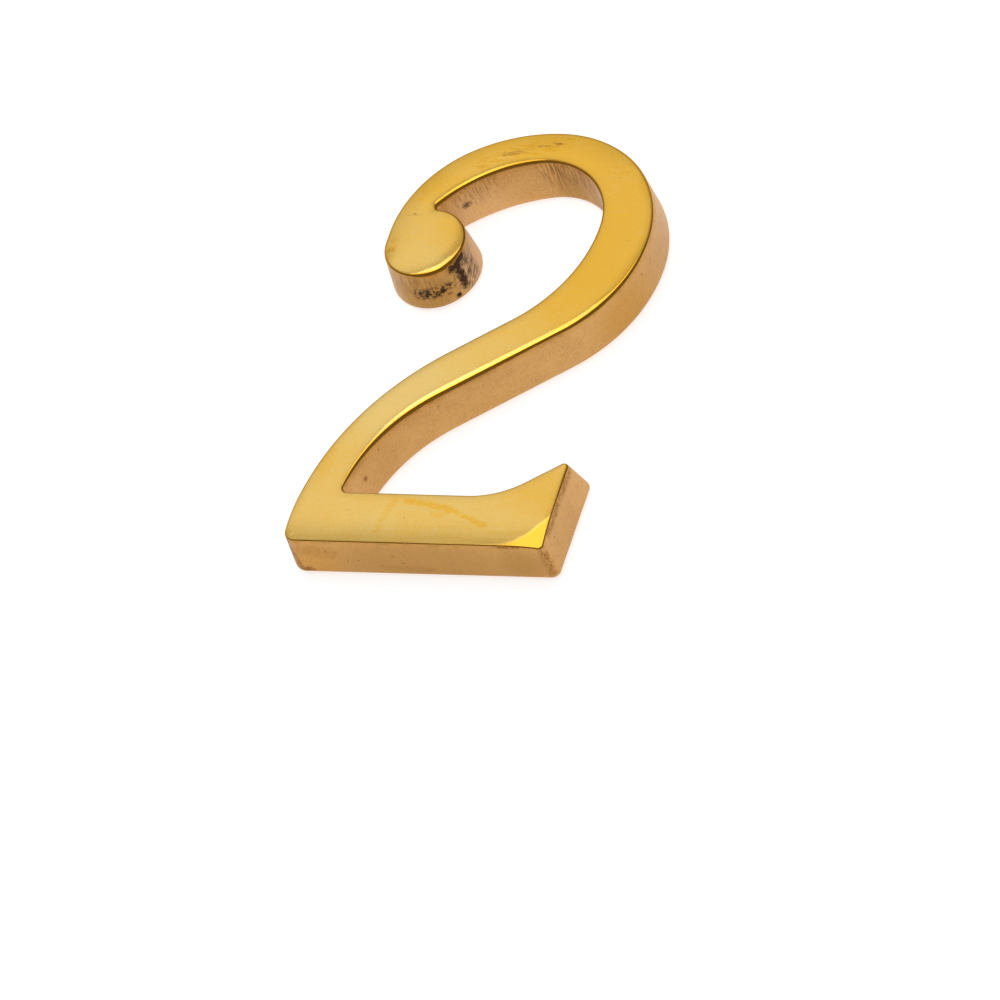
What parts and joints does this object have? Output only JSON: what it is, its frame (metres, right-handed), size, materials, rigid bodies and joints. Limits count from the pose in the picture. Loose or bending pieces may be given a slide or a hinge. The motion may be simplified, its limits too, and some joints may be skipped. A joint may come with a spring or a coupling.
{
  "type": "door numeral",
  "caption": "Cast brass house number, the figure 2, with a ball terminal, rolled edges and blind tapped holes in its flat back for concealed fixing studs.",
  "frame": {"origin": "middle of the numeral's bounding box, on the plane of its flat back", "axes": "+X reading direction, +Y to the top of the figure, +Z out of the polished face"},
  "size_m": [0.056, 0.1014, 0.0099],
  "materials": {
    "brass": "polished face, satin cast and filed walls"
  },
  "bodies": {
    "root": {"numeral_two": "brass"}
  },
  "joints": []
}
